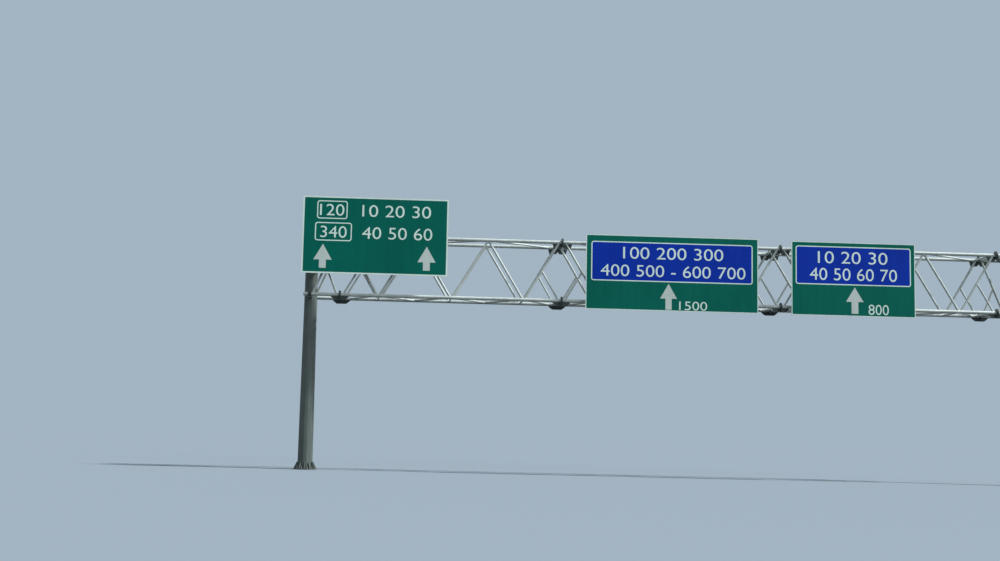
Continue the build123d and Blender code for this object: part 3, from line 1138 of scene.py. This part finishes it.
def u_bolt_shape(tube_diameter):
    """A U-bolt behind a tube along X, with its legs and nuts towards the front."""
    bm = bmesh.new()
    bend = tube_diameter / 2 + rod_radius + rod_clearance
    plate_y = -tube_diameter / 2 - clamp_plate
    place = at(0, 0, bend) @ rotated(90, "X")
    bmesh.ops.create_circle(bm, segments=rod_sides, radius=rod_radius, cap_ends=True, matrix=place)
    disc = bm.faces[:]
    bmesh.ops.spin(
        bm, geom=disc, cent=(0, 0, 0), axis=along_x, angle=-math.pi, steps=bend_steps, use_merge=False
    )
    ends = [face for face in bm.faces if len(face.verts) == rod_sides]
    for end in ends:
        leg = bmesh.ops.extrude_face_region(bm, geom=[end])
        move_new(bm, leg, (0, plate_y - leg_past_clamp, 0))
    bmesh.ops.delete(bm, geom=ends, context="FACES_ONLY")
    for z in (-bend, bend):
        stamp(bm, nut, at(0, plate_y, z) @ to_front)
    return finished_mesh(bm, "u_bolt")


chord_u_bolt = u_bolt_shape(chord_diameter)
diagonal_u_bolt = u_bolt_shape(diagonal_diameter)
print("u-bolt", len(chord_u_bolt.polygons), "faces")

# %% [markdown]
# ## Where the rails and clamps are
#
# The solid model puts a rail behind a panel at the middle of every diagonal that the panel covers,
# a clamp on the top chord, and one on the bottom chord if the panel reaches that far down, or else
# on the middle of the diagonal. The same rule here finds the places of the U-bolts.

# %% Rail places
rail_edge_margin = 0.150
diagonals = [end_diagonal]
for splice in splices[:-1]:
    diagonals += [(splice + top_x, splice + bottom_x) for top_x, bottom_x in section_diagonals]


def rails_behind(low, high):
    """X of each rail of a panel, with the lean of the diagonal there from the chord, in degrees."""
    found = []
    for top_x, bottom_x in diagonals:
        x = (top_x + bottom_x) / 2
        if low.x + rail_edge_margin < x < high.x - rail_edge_margin:
            lean = math.atan2(top_height - bottom_height, top_x - bottom_x)
            found.append((x, math.degrees(lean)))
    return found


rails = {name: rails_behind(*box) for name, box in panel_boxes.items()}
for name, found in rails.items():
    print(name, "rails at", [round(x, 2) for x, lean in found])

# %% [markdown]
# ## Fixings behind the panels
#
# Each clamp gets its U-bolts, each rail gets two bolts wherever it crosses a stiffener, and the
# stiffeners are riveted to the sheet. Rivets are low domes of few faces, because a panel has about
# two hundred of them.

# %% One rivet and one rail bolt
rivet_height = 0.003
rivet_foot = 0.014
rivet_top = 0.006
rivet_sides = 8

dome = bmesh.new()
rivet_axis = Vector((0, rivet_height / 2, 0))
add_tube(dome, -rivet_axis, rivet_axis, rivet_foot, rivet_sides, rivet_top)
rivet = finished_mesh(dome, "rivet")
rail_bolt_parts = [(0.0, 0.002, 0.012, 12), (0.002, 0.010, 0.0105, 6), (0.010, 0.016, 0.006, 8)]
rail_bolt = prisms(rail_bolt_parts, "rail_bolt")
print("rivet", len(rivet.polygons), "faces, rail bolt", len(rail_bolt.polygons))

# %% Fixings of each panel
u_bolt_spacing = 0.032
rivet_pitch = 0.300
rivet_edge = 0.060
rivet_row = 0.0375
hat_edge_margin = 0.130
hat_pitch = 0.640
hat_wall = 0.003
rail_wall = 0.006
rail_end_margin = 0.020
rail_bolt_shifts = (-0.010, 0.014)
to_rear = rotated(90, "Z")


def show_u_bolts(name):
    """U-bolts in pairs on the chords that a panel covers. A short panel has one on each diagonal too."""
    bm = bmesh.new()
    panel_low = panel_boxes[name][0].z
    chords = [z for z in (top_height, bottom_height) if z > panel_low]
    for x, lean in rails[name]:
        for z in chords:
            for shift in (-u_bolt_spacing, u_bolt_spacing):
                stamp(bm, chord_u_bolt, at(x + shift, front_y, z))
        if bottom_height not in chords:
            stamp(bm, diagonal_u_bolt, at(x, front_y, middle_height) @ rotated(-lean, "Y"))
    show(bm, f"{name}_sign_u_bolts", bolt_zinc)


def stiffener_heights(low, high):
    """Z of each stiffener of a panel."""
    first = low.z + hat_edge_margin
    last = high.z - hat_edge_margin
    gaps = math.ceil((last - first) / hat_pitch)
    return [first + step * (last - first) / gaps for step in range(gaps + 1)]


def rail_bolt_places(name, heights):
    """Two bolts wherever a rail crosses a stiffener."""
    low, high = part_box(f"{name}_sign_rails")
    crossed = [z for z in heights if low.z + rail_end_margin < z < high.z - rail_end_margin]
    xs = [x + shift for x, lean in rails[name] for shift in rail_bolt_shifts]
    return [at(x, low.y + rail_wall, z) @ to_rear for x in xs for z in crossed]


def rivet_places(low, high, heights):
    """A row of rivets along each brim of each stiffener."""
    run = high.x - low.x - 2 * rivet_edge
    count = int(run / rivet_pitch)
    xs = [low.x + rivet_edge + number * run / count for number in range(count + 1)]
    y = low.y + sheet_thickness + hat_wall + rivet_height / 2
    return [at(x, y, z + row) for z in heights for row in (-rivet_row, rivet_row) for x in xs]


for name, (low, high) in panel_boxes.items():
    heights = stiffener_heights(low, high)
    show_u_bolts(name)
    bolts = rail_bolt_places(name, heights)
    show_copies(rail_bolt, bolts, f"{name}_sign_rail_bolts", bolt_zinc)
    rivets = rivet_places(low, high, heights)
    show_copies(rivet, rivets, f"{name}_sign_rivets", bare_sheet)

# %% [markdown]
# ## Camera
#
# The view is from low down, some fifty metres before the gantry. Position, direction, roll and
# lens were worked out from known points of the truss and the signs in the photograph. The picture
# is cut from a wider one, so the point that the lens looks at isn't its middle: it lies a little to
# the left and below. A shifted lens gives the same view. The three turns are in degrees.

# %% Place the camera
camera_place = (3.595, -48.650, 1.612)
camera_yaw = 2.023
camera_pitch = 5.858
camera_roll = 1.397
sensor_width = 36.0
image_width = 1000
image_height = 561
focal_pixels = 1258.979
axis_pixel_x = 447.958
axis_pixel_y = 301.262

camera_data = bpy.data.cameras.new("driver_view")
camera_data.sensor_width = sensor_width
camera_data.lens = focal_pixels * sensor_width / image_width
camera_data.shift_x = (image_width / 2 - axis_pixel_x) / image_width
camera_data.shift_y = (axis_pixel_y - image_height / 2) / image_width
camera_data.clip_end = 2000
camera = add_object("driver_view", camera_data)
bpy.context.scene.camera = camera
aim = rotated(-camera_yaw, "Z") @ rotated(90 + camera_pitch, "X") @ rotated(camera_roll, "Z")
camera.matrix_world = at(*camera_place) @ aim
shifts = (round(camera_data.shift_x, 4), round(camera_data.shift_y, 4))
print("lens", round(camera_data.lens, 2), "shift", *shifts)

# %% [markdown]
# ## Floor, sky and sun
#
# The stage is a pale floor and a pale sky that meet without a hard line. The steel should still
# look as it does outdoors: bright on top and dark below. So the floor is pale to the camera and in
# reflections but gives back little light, and the lamps are far away. A small strong sun stands
# high on the right, a wide soft one at the front right lights the signs, and a weak one behind
# keeps their backs readable. The sky fills the shadows.

# %% Two colours for one surface
def shown_directly(tree):
    """1 for rays that show a thing as itself: straight to the camera, in a reflection or through glass."""
    path = add_node(tree, "LightPath").outputs
    mirrored = add_node(
        tree, "Math", {0: path["Is Camera Ray"], 1: path["Is Glossy Ray"]}, operation="MAXIMUM"
    ).outputs[0]
    through = path["Is Transmission Ray"]
    return add_node(tree, "Math", {0: mirrored, 1: through}, operation="MAXIMUM").outputs[0]


def fill_with_two(tree, kind, output, lit, seen):
    """Give a material or a world one colour for the light it gives back and one that shows."""
    shaders = [add_node(tree, kind, {"Color": (*colour, 1)}).outputs[0] for colour in (lit, seen)]
    mix = add_node(tree, "MixShader", {0: shown_directly(tree), 1: shaders[0], 2: shaders[1]})
    set_inputs(tree.nodes[output], {"Surface": mix.outputs[0]})


print("a surface can show one colour and give back another")

# %% Floor and sky
floor_size = 2400
floor_finish = bpy.data.materials.new("floor")
floor_finish.use_nodes = True
floor_tree = floor_finish.node_tree
floor_tree.nodes.remove(floor_tree.nodes["Principled BSDF"])
fill_with_two(floor_tree, "BsdfDiffuse", "Material Output", 3 * [0.04], (0.1974, 0.2415, 0.2869))
floor_mesh = bpy.data.meshes.new("floor")
bm = bmesh.new()
bmesh.ops.create_grid(bm, x_segments=1, y_segments=1, size=floor_size / 2)
bm.to_mesh(floor_mesh)
bm.free()
floor_mesh.materials.append(floor_finish)
floor = add_object("floor", floor_mesh)

world = bpy.data.worlds.new("pale_sky")
bpy.context.scene.world = world
world.use_nodes = True
world.node_tree.nodes.remove(world.node_tree.nodes["Background"])
fill_with_two(world.node_tree, "Background", "World Output", (0.42, 0.455, 0.48), (0.367, 0.456, 0.539))
print("floor", floor_size, "m wide")

# %% Lamps
def add_far_lamp(name, towards, strength, colour, width):
    """A lamp so far away that its light is parallel, as wide in the sky as an angle in degrees."""
    data = bpy.data.lights.new(name, "SUN")
    data.energy = strength
    data.color = colour
    data.angle = math.radians(width)
    lamp = add_object(name, data)
    lamp.rotation_mode = "QUATERNION"
    lamp.rotation_quaternion = Vector(towards).to_track_quat("Z", "Y")


add_far_lamp("sun", (0.634, -0.13, 0.763), 5.3, (1.0, 0.985, 0.955), 4)
add_far_lamp("front_haze", (0.50, -0.75, 0.45), 0.8, (0.96, 0.99, 1.0), 30)
add_far_lamp("rear_haze", (-0.10, 0.95, 0.30), 0.60, (0.96, 0.99, 1.0), 50)
bpy.context.scene.view_settings.view_transform = "Standard"
print("three lamps")
